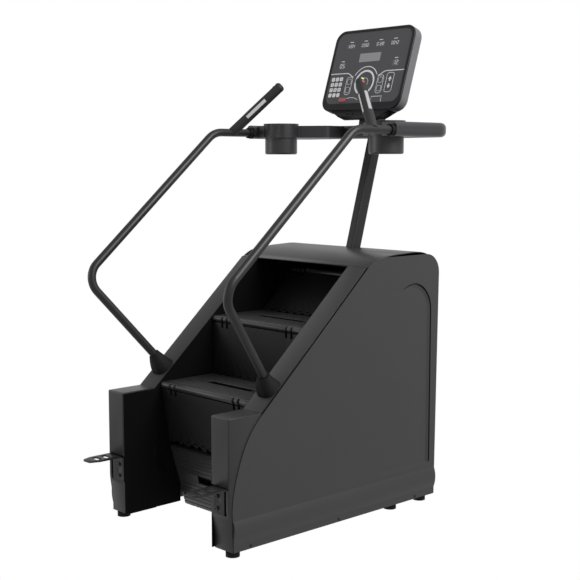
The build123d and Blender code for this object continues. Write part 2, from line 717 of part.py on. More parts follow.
def sprocket_shaft(axis, right_end):
    """A shaft with a toothed sprocket near each end, welded as one piece."""
    with BuildPart() as shaft:
        with BuildSketch(side_plane(-324)):
            with Locations(axis):
                Circle(SHAFT_R)
        extrude(amount=324 + right_end)
        for x in (-CHAIN_X - 4, CHAIN_X - 4):
            with BuildSketch(side_plane(x)):
                with Locations(axis):
                    Circle(SPROCKET_R)
                    with PolarLocations(SPROCKET_R, TEETH):
                        Circle(6.5)
                    with PolarLocations(58, 6):
                        Circle(18, mode=Mode.SUBTRACT)
            extrude(amount=8)
        for x in (-CHAIN_X - 14, CHAIN_X + 4):
            with BuildSketch(side_plane(x)):
                with Locations(axis):
                    Circle(30)
            extrude(amount=10)
    return shaft.part


save(sprocket_shaft(LOWER_AXIS, 324), "lower_sprocket_shaft")

PULLEY_X = 346.0
PULLEY_WIDE = 18.0
PULLEY_R = 110.0
ROTOR_AXIS = (1030.0, 262.0)
ROTOR_R = 28.0

upper_shaft = sprocket_shaft(UPPER_AXIS, PULLEY_X - 0.2)
save(upper_shaft, "upper_sprocket_shaft")

with BuildPart() as drive_pulley:
    with BuildSketch(side_plane(PULLEY_X)):
        with Locations(UPPER_AXIS):
            Circle(PULLEY_R)
            with PolarLocations(68, 5):
                Circle(24, mode=Mode.SUBTRACT)
    extrude(amount=PULLEY_WIDE)
save(drive_pulley.part, "drive_pulley")

with BuildPart() as shaft_bearings:
    for side in (-1, 1):
        for axis in (LOWER_AXIS, UPPER_AXIS):
            middle = side * (BEARING_IN + BEARING_WIDE / 2)
            with BuildSketch(side_plane(middle - BEARING_WIDE / 2)):
                with Locations(axis):
                    RectangleRounded(2 * BEARING_HALF, 2 * BEARING_HALF, 12)
                    Circle(SHAFT_R + RUNNING_FIT, mode=Mode.SUBTRACT)
            extrude(amount=BEARING_WIDE)
save(shaft_bearings.part, "shaft_bearings")

loop_angle = math.degrees(math.atan2(UPPER_AXIS[1] - LOWER_AXIS[1], UPPER_AXIS[0] - LOWER_AXIS[0]))
loop_long = math.dist(UPPER_AXIS, LOWER_AXIS)
loop_middle = ((UPPER_AXIS[0] + LOWER_AXIS[0]) / 2, (UPPER_AXIS[1] + LOWER_AXIS[1]) / 2)

with BuildPart() as step_chain:
    with BuildSketch(side_plane(CHAIN_X - 11)):
        with Locations(Location((*loop_middle, 0), (0, 0, loop_angle))):
            SlotCenterToCenter(loop_long, 2 * CHAIN_R + CHAIN_T)
            SlotCenterToCenter(loop_long, 2 * CHAIN_R - CHAIN_T, mode=Mode.SUBTRACT)
    extrude(amount=22)
save_both(step_chain.part, "step_chains")

belt_turn = math.asin((PULLEY_R - ROTOR_R) / math.dist(UPPER_AXIS, ROTOR_AXIS))
belt_dir = math.atan2(ROTOR_AXIS[1] - UPPER_AXIS[1], ROTOR_AXIS[0] - UPPER_AXIS[0])


def rim(centre, radius, angle):
    """A point on a circle in the side view, at an angle in radians."""
    return (centre[0] + radius * math.cos(angle), centre[1] + radius * math.sin(angle))


def belt_outline(extra):
    """The belt's path round both pulleys, `extra` outside their rims."""
    left = belt_dir - math.pi / 2 - belt_turn
    right = belt_dir + math.pi / 2 + belt_turn
    big = PULLEY_R + extra
    small = ROTOR_R + extra
    Line(rim(UPPER_AXIS, big, left + 2 * belt_turn), rim(ROTOR_AXIS, small, left + 2 * belt_turn))
    ThreePointArc(
        rim(ROTOR_AXIS, small, left + 2 * belt_turn),
        rim(ROTOR_AXIS, small, belt_dir),
        rim(ROTOR_AXIS, small, right - 2 * belt_turn),
    )
    Line(rim(ROTOR_AXIS, small, right - 2 * belt_turn), rim(UPPER_AXIS, big, right - 2 * belt_turn))
    ThreePointArc(
        rim(UPPER_AXIS, big, right - 2 * belt_turn),
        rim(UPPER_AXIS, big, belt_dir + math.pi),
        rim(UPPER_AXIS, big, left + 2 * belt_turn),
    )


with BuildPart() as drive_belt:
    with BuildSketch(side_plane(PULLEY_X + 1)):
        with BuildLine():
            belt_outline(3.5)
        make_face()
        with BuildLine():
            belt_outline(GAP)
        make_face(mode=Mode.SUBTRACT)
    extrude(amount=PULLEY_WIDE - 2)
save(drive_belt.part, "drive_belt")

with BuildPart() as alternator:
    with BuildSketch(side_plane(180)):
        with Locations(ROTOR_AXIS):
            Circle(72)
    extrude(amount=140)
    fillet(alternator.edges().filter_by(GeomType.CIRCLE), radius=8)
    with Locations(at(250, ROTOR_AXIS[0], 145)):
        Box(100, 56, 2 * (145 - rail_top) - 0.4)
    with BuildSketch(side_plane(280)):
        with Locations(ROTOR_AXIS):
            Circle(10 + RUNNING_FIT)
    extrude(amount=60, mode=Mode.SUBTRACT)
save(alternator.part, "alternator")

with BuildPart() as alternator_rotor:
    with BuildSketch(side_plane(290)):
        with Locations(ROTOR_AXIS):
            Circle(10)
    extrude(amount=96)
    with BuildSketch(side_plane(PULLEY_X)):
        with Locations(ROTOR_AXIS):
            Circle(ROTOR_R)
    extrude(amount=PULLEY_WIDE)
    with BuildSketch(side_plane(PULLEY_X + PULLEY_WIDE + 4)):
        with Locations(ROTOR_AXIS):
            Circle(90)
    extrude(amount=16)
save(alternator_rotor.part, "alternator_rotor")

with BuildPart() as controller_box:
    with Locations(at(-110, 1030, rail_top + 62)):
        Box(180, 84, 120)
    fillet(controller_box.edges().filter_by(Axis.Z), radius=6)
save(controller_box.part, "controller_box")

# ---------------------------------------------------------------- revolving steps
# A step is a tread and a riser. The tread reaches from its comb hinge out to its nose hinge, and the
# riser from the comb hinge below up to the nose hinge. An angle is that of a link's direction from
# its comb hinge to its nose hinge, in the side view, up from the depth axis.
NOSE_1 = (196.5 + AXIS_INSET, 578.0 - AXIS_INSET)
RISER_1_ANGLE = 99.6
TREAD_6_ANGLE = -74.0
RISER_3_ANGLE = 45.0
TREAD_3_ANGLE = 115.0
RISER_FACE = 11.0  # a riser's face lies this far outside its hinge line
RISER_T = 8.0
TREAD_T = 24.0
SLOT_LONG = 250.0
SLOT_WIDE = 12.0


def along(start, distance, angle):
    """A point `distance` from start in the side view, at an angle in degrees."""
    turn = math.radians(angle)
    return (start[0] + distance * math.cos(turn), start[1] + distance * math.sin(turn))


COMB_1 = along(NOSE_1, STEP_RUN, 0)
NOSE_2 = along(COMB_1, STEP_RISE, 90)
COMB_2 = along(NOSE_2, STEP_RUN, 0)
NOSE_3 = along(COMB_2, STEP_RISE, RISER_3_ANGLE)
COMB_3 = along(NOSE_3, -STEP_RUN, TREAD_3_ANGLE)
NOSE_4 = along(COMB_3, STEP_RISE, -90)
COMB_4 = along(NOSE_4, -STEP_RUN, 0)
NOSE_5 = along(COMB_4, STEP_RISE, -90)
COMB_5 = along(NOSE_5, -STEP_RUN, 0)
COMB_6 = along(NOSE_1, -STEP_RISE, RISER_1_ANGLE)
NOSE_6 = along(COMB_6, STEP_RUN, TREAD_6_ANGLE)


def link_plane(comb, angle):
    """Plane across the machine at a comb hinge: its x runs along the link, towards the nose hinge."""
    turn = math.radians(angle)
    return Plane(origin=at(0, *comb), x_dir=(0, math.cos(turn), math.sin(turn)), z_dir=(-1, 0, 0))


def make_tread(comb, angle):
    """A ribbed tread with a rounded nose about its nose hinge and a long drain slot."""
    plane = link_plane(comb, angle)
    underside = AXIS_INSET - TREAD_T
    with BuildPart() as tread:
        with BuildSketch(plane):
            with BuildLine():
                Line((AXIS_INSET, AXIS_INSET), (STEP_RUN, AXIS_INSET))
                ThreePointArc((STEP_RUN, AXIS_INSET), (STEP_RUN + AXIS_INSET, 0), (STEP_RUN, -AXIS_INSET))
                Polyline(
                    (STEP_RUN, -AXIS_INSET),
                    (STEP_RUN - AXIS_INSET, underside),
                    (AXIS_INSET, underside),
                    (AXIS_INSET, AXIS_INSET),
                )
            make_face()
        extrude(amount=STEP_HALF, both=True)
        with Locations(plane * Pos(STEP_RUN * 0.6, 0, 0)):
            Box(SLOT_WIDE, 3 * TREAD_T, SLOT_LONG, mode=Mode.SUBTRACT)
    return tread.part


def make_riser(comb, angle, start=AXIS_INSET - 6, end=STEP_RISE - AXIS_INSET - 1):
    """A flat riser between two hinges."""
    with BuildPart() as riser:
        with BuildSketch(link_plane(comb, angle)):
            with Locations(((start + end) / 2, RISER_T / 2 - RISER_FACE)):
                Rectangle(end - start, RISER_T)
        extrude(amount=STEP_HALF, both=True)
    return riser.part


save(make_tread(COMB_1, 180), "tread_1")
save(make_tread(COMB_2, 180), "tread_2")
save(make_tread(COMB_3, TREAD_3_ANGLE), "tread_3")
save(make_tread(COMB_6, TREAD_6_ANGLE), "tread_6")
save(make_riser(COMB_6, RISER_1_ANGLE), "riser_1")
save(make_riser(COMB_1, 90), "riser_2")
save(make_riser(COMB_2, RISER_3_ANGLE), "riser_3")

closing_angle = math.degrees(math.atan2(NOSE_6[1] - COMB_5[1], NOSE_6[0] - COMB_5[0]))
save(make_riser(COMB_5, closing_angle, end=STEP_RISE - 32), "riser_6")

returning = [
    make_tread(COMB_4, 0),
    make_tread(COMB_5, 0),
    make_riser(COMB_3, -90, start=36),
    make_riser(COMB_4, -90),
]
save(Compound(children=returning), "return_steps")
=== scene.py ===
import json
import math

import bpy
from mathutils import Matrix, Vector


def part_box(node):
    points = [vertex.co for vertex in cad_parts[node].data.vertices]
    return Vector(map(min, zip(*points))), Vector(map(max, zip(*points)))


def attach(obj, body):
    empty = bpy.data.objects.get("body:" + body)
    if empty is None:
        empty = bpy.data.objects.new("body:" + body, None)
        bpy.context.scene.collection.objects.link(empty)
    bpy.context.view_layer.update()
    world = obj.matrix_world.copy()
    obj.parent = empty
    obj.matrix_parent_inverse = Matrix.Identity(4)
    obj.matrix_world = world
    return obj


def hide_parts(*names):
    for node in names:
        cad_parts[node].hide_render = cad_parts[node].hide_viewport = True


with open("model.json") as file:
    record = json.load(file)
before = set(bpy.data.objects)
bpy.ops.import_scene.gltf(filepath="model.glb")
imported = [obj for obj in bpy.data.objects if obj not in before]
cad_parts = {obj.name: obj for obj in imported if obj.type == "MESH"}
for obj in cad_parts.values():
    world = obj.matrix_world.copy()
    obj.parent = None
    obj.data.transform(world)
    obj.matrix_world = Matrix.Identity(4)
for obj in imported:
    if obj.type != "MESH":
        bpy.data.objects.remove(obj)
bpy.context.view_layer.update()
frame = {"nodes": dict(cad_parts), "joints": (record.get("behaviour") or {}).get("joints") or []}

# ------------------------------------------------------------------ welded frame
# Box-section steel tube, mitred and seam welded, with the mast beam across its rear uprights.
# The whole weldment is powder coated black: a satin skin with a fine orange peel.


def linear(code):
    """Linear RGBA of an sRGB hex colour."""
    channels = [int(code[i : i + 2], 16) / 255 for i in (1, 3, 5)]
    return (*[c / 12.92 if c <= 0.04045 else ((c + 0.055) / 1.055) ** 2.4 for c in channels], 1.0)


def add_node(finish, kind, values=None, links=None, **properties):
    """Adds a shader node with its properties, its inputs' values and its links; returns its outputs."""
    tree = finish.node_tree
    made = tree.nodes.new("ShaderNode" + kind)
    for name, value in properties.items():
        setattr(made, name, value)
    for name, value in (values or {}).items():
        made.inputs[name].default_value = value
    for name, source in (links or {}).items():
        tree.links.new(source, made.inputs[name])
    return made.outputs


def new_finish(name):
    """A material with an empty node tree."""
    finish = bpy.data.materials.new(name)
    finish.use_nodes = True
    finish.node_tree.nodes.clear()
    return finish


def per_metre(millimetres):
    """A noise scale that gives features of this size."""
    return 1000 / millimetres


def dress(node, finish):
    """Gives a CAD part its finish."""
    slots = frame["nodes"][node].data.materials
    slots.clear()
    slots.append(finish)


# Polyester powder coat on steel: low sheen, an orange peel of a few millimetres that softens highlights
powder_coat = new_finish("powder_coated_steel_black")
place = add_node(powder_coat, "TexCoord")["Object"]
peel = add_node(powder_coat, "TexNoise", {"Scale": per_metre(3), "Detail": 2.0}, {"Vector": place})["Fac"]
handling = add_node(
    powder_coat, "TexNoise", {"Scale": per_metre(160), "Detail": 3.0}, {"Vector": place}
)["Fac"]
sheen = add_node(powder_coat, "MapRange", {"To Min": 0.36, "To Max": 0.5}, {"Value": handling})["Result"]
relief = add_node(powder_coat, "Bump", {"Strength": 0.25, "Distance": 0.0002}, {"Height": peel})["Normal"]
skin = add_node(
    powder_coat,
    "BsdfPrincipled",
    {"Base Color": linear("#0e0e0f"), "IOR": 1.5, "Specular IOR Level": 0.25},
    {"Roughness": sheen, "Normal": relief},
)["BSDF"]
add_node(powder_coat, "OutputMaterial", links={"Surface": skin})

for node in ("frame_rails", "frame_cross_members", "frame_posts", "frame_stringers", "mast_beam"):
    dress(node, powder_coat)

# ------------------------------------------------------------------ drive behind the steps
# Turned shafts with toothed sprockets in cast bearing blocks, oiled step chains, a ribbed rubber belt
# and an alternator that brakes the stairs. Behind the treads and casings, seen only from below.

# Mild steel as turned and oiled: bright, with rings of tool marks and brown-grey oil in patches
oiled_steel = new_finish("turned_steel_oiled")
place = add_node(oiled_steel, "TexCoord")["Object"]
oil = add_node(oiled_steel, "TexNoise", {"Scale": per_metre(45), "Detail": 4.0}, {"Vector": place})["Fac"]
film = add_node(oiled_steel, "MapRange", {"To Min": 0.28, "To Max": 0.55}, {"Value": oil})["Result"]
tone = add_node(oiled_steel, "MapRange", {"To Min": 0.7, "To Max": 1.1}, {"Value": oil})["Result"]
metal = add_node(
    oiled_steel, "HueSaturation", {"Color": linear("#8b8985")}, {"Value": tone}
)["Color"]
skin = add_node(
    oiled_steel, "BsdfPrincipled", {"Metallic": 1.0}, {"Base Color": metal, "Roughness": film}
)["BSDF"]
add_node(oiled_steel, "OutputMaterial", links={"Surface": skin})

# Sand-cast aluminium and iron housings: pale grey, pebbled by the sand at about 2 mm
cast_housing = new_finish("sand_cast_housing")
place = add_node(cast_housing, "TexCoord")["Object"]
sand = add_node(cast_housing, "TexNoise", {"Scale": per_metre(2), "Detail": 3.0}, {"Vector": place})["Fac"]
relief = add_node(cast_housing, "Bump", {"Strength": 0.6, "Distance": 0.0004}, {"Height": sand})["Normal"]
dust = add_node(cast_housing, "MapRange", {"To Min": 0.5, "To Max": 0.7}, {"Value": sand})["Result"]
skin = add_node(
    cast_housing,
    "BsdfPrincipled",
    {"Base Color": linear("#8d8e90"), "Metallic": 0.85},
    {"Roughness": dust, "Normal": relief},
)["BSDF"]
add_node(cast_housing, "OutputMaterial", links={"Surface": skin})

# Zinc-plated sheet steel of the controller's box: a soft silver with spangle patches of 12 mm
zinc_sheet = new_finish("zinc_plated_sheet")
place = add_node(zinc_sheet, "TexCoord")["Object"]
spangle = add_node(zinc_sheet, "TexVoronoi", {"Scale": per_metre(12)}, {"Vector": place})["Distance"]
film = add_node(zinc_sheet, "MapRange", {"To Min": 0.3, "To Max": 0.48}, {"Value": spangle})["Result"]
skin = add_node(
    zinc_sheet, "BsdfPrincipled", {"Base Color": linear("#a9abad"), "Metallic": 1.0}, {"Roughness": film}
)["BSDF"]
add_node(zinc_sheet, "OutputMaterial", links={"Surface": skin})

# Black rubber, used for the belt, boots, collars and feet: matt, with a faint bloom
rubber = new_finish("moulded_rubber_black")
place = add_node(rubber, "TexCoord")["Object"]
bloom = add_node(rubber, "TexNoise", {"Scale": per_metre(30), "Detail": 5.0}, {"Vector": place})["Fac"]
pores = add_node(rubber, "TexNoise", {"Scale": per_metre(1.5), "Detail": 1.0}, {"Vector": place})["Fac"]
film = add_node(rubber, "MapRange", {"To Min": 0.6, "To Max": 0.8}, {"Value": bloom})["Result"]
relief = add_node(rubber, "Bump", {"Strength": 0.3, "Distance": 0.0002}, {"Height": pores})["Normal"]
skin = add_node(
    rubber,
    "BsdfPrincipled",
    {"Base Color": linear("#060607"), "IOR": 1.52, "Specular IOR Level": 0.12},
    {"Roughness": film, "Normal": relief},
)["BSDF"]
add_node(rubber, "OutputMaterial", links={"Surface": skin})

oiled_parts = ("lower_sprocket_shaft", "upper_sprocket_shaft", "drive_pulley", "step_chains")
for node in (*oiled_parts, "alternator_rotor"):
    dress(node, oiled_steel)
for node in ("shaft_bearings", "alternator"):
    dress(node, cast_housing)
dress("controller_box", zinc_sheet)
dress("drive_belt", rubber)

# ------------------------------------------------------------------ inner walls
# Flat black ABS sheets that line the stair well on both sides, die cut, with a lens-shaped finger
# opening low at the front. Left as sheet, so they are flat with only a fine haircell grain. Their
# near-black colour is partly painted shade for the stair well.


def mould_grain(finish, colour, grain, low, high, shine=0.3):
    """Wires up a moulded plastic: noise grain in millimetres, with roughness from low to high."""
    where = add_node(finish, "TexCoord")["Object"]
    cells = add_node(finish, "TexNoise", {"Scale": per_metre(grain), "Detail": 2.0}, {"Vector": where})["Fac"]
    flow = add_node(finish, "TexNoise", {"Scale": per_metre(240), "Detail": 2.0}, {"Vector": where})["Fac"]
    gloss = add_node(finish, "MapRange", {"To Min": low, "To Max": high}, {"Value": flow})["Result"]
    shade = add_node(finish, "MapRange", {"To Min": 0.93, "To Max": 1.07}, {"Value": flow})["Result"]
    tint = add_node(finish, "HueSaturation", {"Color": linear(colour)}, {"Value": shade})["Color"]
    bump = add_node(finish, "Bump", {"Strength": 0.35, "Distance": 0.0003}, {"Height": cells})["Normal"]
    surface = add_node(
        finish,
        "BsdfPrincipled",
        {"IOR": 1.5, "Specular IOR Level": shine},
        {"Base Color": tint, "Roughness": gloss, "Normal": bump},
    )["BSDF"]
    add_node(finish, "OutputMaterial", links={"Surface": surface})


# Extruded ABS sheet, haircell side out; the real grain is 0.5 mm and is drawn at 2.5 mm to show. Its colour
# is black ABS made darker still, which is painted shade for the well and, on the slot liners, for the slots.
shade_black_sheet = new_finish("abs_sheet_black_painted_shade")
mould_grain(shade_black_sheet, "#060606", 2.5, 0.6, 0.7, 0.03)

# Near-black inner walls: partly painted shade
for side in ("left", "right"):
    dress("inner_wall_" + side, shade_black_sheet)

# ------------------------------------------------------------------ casings
# Injection-moulded and vacuum-formed ABS covers in charcoal. Side panels carry a rolled skirt ridge
# and a shallow pressed field that fades out towards the front; the other covers have rolled edges.


def only(piece):
    """Makes one object the selected and active one."""
    bpy.ops.object.select_all(action="DESELECT")
    piece.select_set(True)
    bpy.context.view_layer.objects.active = piece


def bench_copy(node, name):
    """A copy of a CAD part to work on, its loose triangles merged into whole faces."""
    piece = bpy.data.objects.new(name, frame["nodes"][node].data.copy())
    bpy.context.scene.collection.objects.link(piece)
    piece.data.materials.clear()
    only(piece)
    bpy.ops.mesh.customdata_custom_splitnormals_clear()
    bpy.ops.object.mode_set(mode="EDIT")
    bpy.ops.mesh.select_all(action="SELECT")
    bpy.ops.mesh.remove_doubles(threshold=0.00002)
    bpy.ops.mesh.dissolve_limited(angle_limit=math.radians(0.5))
    bpy.ops.object.mode_set(mode="OBJECT")
    return piece


def round_edges(piece, width, steps=2, sharp=30):
    """Rounds every edge sharper than an angle, as a mould's radius does."""
    only(piece)
    bevel = piece.modifiers.new("edges", "BEVEL")
    bevel.width = width
    bevel.segments = steps
    bevel.limit_method = "ANGLE"
    bevel.angle_limit = math.radians(sharp)
    bevel.harden_normals = False
    bpy.ops.object.modifier_apply(modifier=bevel.name)
    bpy.ops.object.shade_smooth_by_angle(angle=math.radians(sharp))


def cut_with(piece, tool, operation="DIFFERENCE"):
    """Cuts a tool's shape out of a piece, or welds it on, and removes the tool."""
    only(piece)
    cut = piece.modifiers.new("cut", "BOOLEAN")
    cut.operation = operation
    cut.object = tool
    cut.solver = "EXACT"
    bpy.ops.object.modifier_apply(modifier=cut.name)
    bpy.data.objects.remove(tool)


def solid_between(top, floor, name):
    """A closed solid between two outlines of the same number of points."""
    count = len(top)
    bpy.ops.mesh.primitive_circle_add(vertices=count, fill_type="NGON")
    solid = bpy.context.active_object
    solid.name = name
    bpy.ops.object.mode_set(mode="EDIT")
    bpy.ops.mesh.select_all(action="SELECT")
    bpy.ops.mesh.extrude_region_move(TRANSFORM_OT_translate={"value": (0, 0, 1)})
    bpy.ops.object.mode_set(mode="OBJECT")
    for i, point in enumerate([*top, *floor]):
        solid.data.vertices[i].co = point
    bpy.ops.object.mode_set(mode="EDIT")
    bpy.ops.mesh.select_all(action="SELECT")
    bpy.ops.mesh.normals_make_consistent(inside=False)
    bpy.ops.object.mode_set(mode="OBJECT")
    return solid


def prism(corners, shift, name):
    """A solid between an outline and the same outline moved."""
    return solid_between(corners, [Vector(c) + Vector(shift) for c in corners], name)


# Moulded ABS, spark-eroded tool; the real grain is 0.3 mm and is drawn at 3 mm to show
casing_abs = new_finish("moulded_abs_charcoal")
mould_grain(casing_abs, "#222223", 3.0, 0.38, 0.48, 0.24)
# The covers get the same charcoal ABS made darker: painted shade, as on the post fronts that face away from
# the light
cover_abs_shaded = new_finish("moulded_abs_charcoal_painted_shade")
mould_grain(cover_abs_shaded, "#19191a", 3.0, 0.34, 0.46, 0.24)

panel_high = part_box("side_panel_right")[1]
panel_face = panel_high.x - 0.010
skirt_top = 0.172
field_end = panel_high.y - 0.060
field_top = panel_high.z - 0.131
field_turn = 0.115
field_start = field_end - 0.330
field_drop = 0.006
field_bank = 0.012
groove_wide = 0.009
groove_deep = 0.010
slab_deep = 0.013
slab_margin = 0.014
slab_cover = 0.001
groove_over = 0.001
dish_margin = 0.001
dish_over = 0.0004


def field_outline(margin, lift):
    """The pressed field's outline, `margin` inside its edge, on a floor that sinks towards the rear."""
    turn = field_turn - margin
    arc_y = field_end - field_turn
    arc_z = field_top - field_turn
    steps = [math.radians(9 * i) for i in range(11)]
    curve = [(arc_y + turn * math.cos(a), arc_z + turn * math.sin(a)) for a in steps]
    corners = [(field_end - margin, skirt_top + margin), *curve, (field_start, field_top - margin)]
    corners.append((field_start, skirt_top + margin))
    sink = field_drop / (field_end - field_start)
    return [(panel_face + lift - sink * (y - field_start), y, z) for y, z in corners]


def flat_outline(margin, x):
    """The same outline on a flat plane."""
    return [(x, y, z) for _, y, z in field_outline(margin, 0)]


def groove_outline(x):
    """The shadow groove just outside the field, narrowing to nothing over the first part of its arc."""
    outer, inner = [], []
    arc_y = field_end - field_turn
    arc_z = field_top - field_turn
    for i in range(15):
        turn = math.radians(9 * i)
        wide = groove_wide * min(1, (14.5 - i) / 5)
        for radius, edge in ((field_turn + wide, outer), (field_turn, inner)):
            edge.append((x, arc_y + radius * math.cos(turn), arc_z + radius * math.sin(turn)))
    foot = skirt_top + groove_wide
    return [(x, field_end + groove_wide, foot), *outer, *reversed(inner), (x, field_end, foot)]


for side, sign in (("right", 1), ("left", -1)):
    panel = bench_copy("side_panel_right", "side_panel_shell_" + side)
    slab_top = flat_outline(-slab_margin, panel_face - slab_cover)
    backing = solid_between(slab_top, flat_outline(-slab_margin, panel_face - slab_deep), "backing")
    cut_with(panel, backing, "UNION")
    dish_mouth = flat_outline(-dish_margin, panel_face + dish_over)
    dish = solid_between(dish_mouth, field_outline(field_bank, 0), "dish")
    cut_with(panel, dish)
    groove_mouth = groove_outline(panel_face + groove_over)
    groove = solid_between(groove_mouth, groove_outline(panel_face - groove_deep), "groove")
    cut_with(panel, groove)
    round_edges(panel, 0.0012, 3, 12)
    if sign < 0:
        panel.data.transform(Matrix.Scale(-1, 4, (1, 0, 0)))
        only(panel)
        bpy.ops.object.mode_set(mode="EDIT")
        bpy.ops.mesh.select_all(action="SELECT")
        bpy.ops.mesh.flip_normals()
        bpy.ops.object.mode_set(mode="OBJECT")
    panel.data.materials.append(casing_abs)
    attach(panel, "machine")
    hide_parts("side_panel_" + side)

# The caps stop short of the side panels, which leaves a shadow gap along the slope
shadow_gap = 0.007
shadow_gapped = ("band_cap_left", "band_cap_right")
for node in ("post_cover_left", "post_cover_right", *shadow_gapped, "top_cover", "rear_cover"):
    cover = bench_copy(node, node + "_moulding")
    if node in shadow_gapped:
        edge = max(abs(vertex.co.x) for vertex in cover.data.vertices)
        for vertex in cover.data.vertices:
            if abs(vertex.co.x) > edge - 0.001:
                vertex.co.x -= math.copysign(shadow_gap, vertex.co.x)
    round_edges(cover, 0.0015, 2, 30)
    # Darker copy of the casing ABS: painted shade
    cover.data.materials.append(cover_abs_shaded)
    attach(cover, "machine")
    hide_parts(node)

# ------------------------------------------------------------------ mains inlet
# A moulded three-pin appliance inlet pressed into the rear cover.
dress("power_inlet", rubber)

# ------------------------------------------------------------------ revolving steps
# Each step is a glass-filled nylon tread and a flat riser, hinged to each other in an endless chain.
# A tread has a rounded nosing, cross ribs, a drain slot, and gaps where the hinge knuckles sit.

# Glass-filled nylon, ribbed tool: dry and slightly dusty; the grain is drawn at 4 mm to show
tread_nylon = new_finish("glass_filled_nylon_charcoal")
mould_grain(tread_nylon, "#1c1c1d", 4.0, 0.35, 0.45, 0.26)
# The risers' nylon is the treads' nylon made darker: painted shade on the upright faces
riser_nylon_shaded = new_finish("moulded_nylon_black_painted_shade")
mould_grain(riser_nylon_shaded, "#0b0b0c", 4.0, 0.5, 0.6, 0.12)

hinges = {joint["name"]: Vector(joint["pos_m"]) for joint in frame["joints"] if "pos_m" in joint}
hinge_inset = 0.014
tread_low, tread_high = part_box("tread_2")
tread_half = tread_high.x
step_run = hinges["riser_high_fold"].y - tread_low.y - hinge_inset
step_rise = hinges["riser_high_fold"].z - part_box("tread_1")[1].z + hinge_inset
tread_under = -0.010
rib_pitch = 0.019
rib_groove = 0.003
rib_depth = 0.0016
comb_pitch = 0.052
comb_gap = 0.024
knuckle_gap = 0.013
knuckle_deep = 0.022
knuckle_places = (-0.223, -0.191, 0.191, 0.223)


def block(low, high, name="block"):
    """A box between two corners, as stock for a tool."""
    low, high = Vector(low), Vector(high)
    bpy.ops.mesh.primitive_cube_add(size=1, location=(low + high) / 2)
    solid = bpy.context.active_object
    solid.name = name
    solid.scale = high - low
    bpy.ops.object.transform_apply(location=True, rotation=True, scale=True)
    return solid


def join_all(pieces, name):
    """Joins several meshes into one object."""
    bpy.ops.object.select_all(action="DESELECT")
    for piece in pieces:
        piece.select_set(True)
    bpy.context.view_layer.objects.active = pieces[0]
    bpy.ops.object.join()
    pieces[0].name = name
    return pieces[0]


def row(count, pitch):
    """Centres of a row of evenly spaced places, about zero."""
    return [(i - (count - 1) / 2) * pitch for i in range(count)]


# A tread lies on its back at the origin: x runs from the comb hinge to the nose hinge, y up, z across
nose_steps = [math.radians(90 - 18 * i) for i in range(11)]
nosing = [(step_run + hinge_inset * math.cos(a), hinge_inset * math.sin(a), -tread_half) for a in nose_steps]
section = [(hinge_inset, hinge_inset, -tread_half), *nosing]
section += [(step_run - hinge_inset, tread_under, -tread_half), (hinge_inset, tread_under, -tread_half)]
tread_shape = prism(section, (0, 0, 2 * tread_half), "tread_shape")

slot_middle = 0.151
slot_wide = 0.036
slot_long = 0.280
slot_low = (slot_middle - slot_wide / 2, -0.05, -slot_long / 2)
slot_high = (slot_middle + slot_wide / 2, 0.05, slot_long / 2)
tools = [block(slot_low, slot_high)]
for i in range(13):
    x = 0.034 + i * rib_pitch
    if abs(x - slot_middle) > slot_wide / 2 + rib_groove:
        low = (x - rib_groove / 2, hinge_inset - rib_depth, -tread_half + 0.012)
        tools.append(block(low, (x + rib_groove / 2, hinge_inset + 0.01, tread_half - 0.012)))
tools.append(
    block((step_run - 0.012, hinge_inset - 0.003, -tread_half - 1), (step_run - 0.009, 0.05, tread_half + 1))
)
for z in row(11, comb_pitch):
    tools.append(block((0, -0.05, z - comb_gap / 2), (hinge_inset - 0.005, 0.05, z + comb_gap / 2)))
for z in knuckle_places:
    low = (step_run + 0.001, -0.05, z - knuckle_gap / 2)
    tools.append(block(low, (step_run + 0.03, 0.05, z + knuckle_gap / 2)))
cut_with(tread_shape, join_all(tools, "tread_tools"))
round_edges(tread_shape, 0.0012, 2, 25)

# A black liner, open at the top, sits in the slot a little below the tread's face. It is a dark sheet that
# stands for the shade down in the slot, so it is painted shade.
liner_play = 0.0004
liner_wall = 0.0012
liner_top = hinge_inset - 0.0012
liner_floor = hinge_inset - 0.022


def liner_block(inset, floor, top, name):
    """A box inside the drain slot, this far in from its sides."""
    half_x = slot_wide / 2 - inset
    half_z = slot_long / 2 - inset
    return block((slot_middle - half_x, floor, -half_z), (slot_middle + half_x, top, half_z), name)


liner_shape = liner_block(liner_play, liner_floor, liner_top, "liner_shape")
cut_with(liner_shape, liner_block(liner_play + liner_wall, liner_floor + liner_wall, 0.05, "liner_hollow"))

# A riser, likewise: x from the comb hinge below to the nose hinge above, its outer face at -y
riser_face = -0.011
riser_back = -0.003
riser_foot = 0.008
riser_head = step_rise - hinge_inset - 0.001
closing_head = step_rise - 0.032


def riser_stock(foot, head, name):
    """A riser plate with its comb notches, a staggered row of slots and its knuckle gaps."""
    plate = block((foot, riser_face, -tread_half), (head, riser_back, tread_half), name)
    cuts = []
    for z in row(10, comb_pitch):
        cuts.append(block((foot - 0.01, -0.05, z - comb_gap / 2), (foot + 0.007, 0.05, z + comb_gap / 2)))
    for z in row(11, comb_pitch):
        cuts.append(block((foot + 0.012, -0.05, z - 0.009), (foot + 0.017, 0.05, z + 0.009)))
    for z in knuckle_places:
        low = (head - knuckle_deep, -0.05, z - knuckle_gap / 2)
        cuts.append(block(low, (head + 0.01, 0.05, z + knuckle_gap / 2)))
    cut_with(plate, join_all(cuts, "riser_tools"))
    round_edges(plate, 0.0015, 2, 25)
    return plate


riser_shape = riser_stock(riser_foot, riser_head, "riser_shape")
closing_shape = riser_stock(riser_foot, closing_head, "closing_shape")
short_riser_shape = riser_stock(0.036, riser_head, "short_riser_shape")


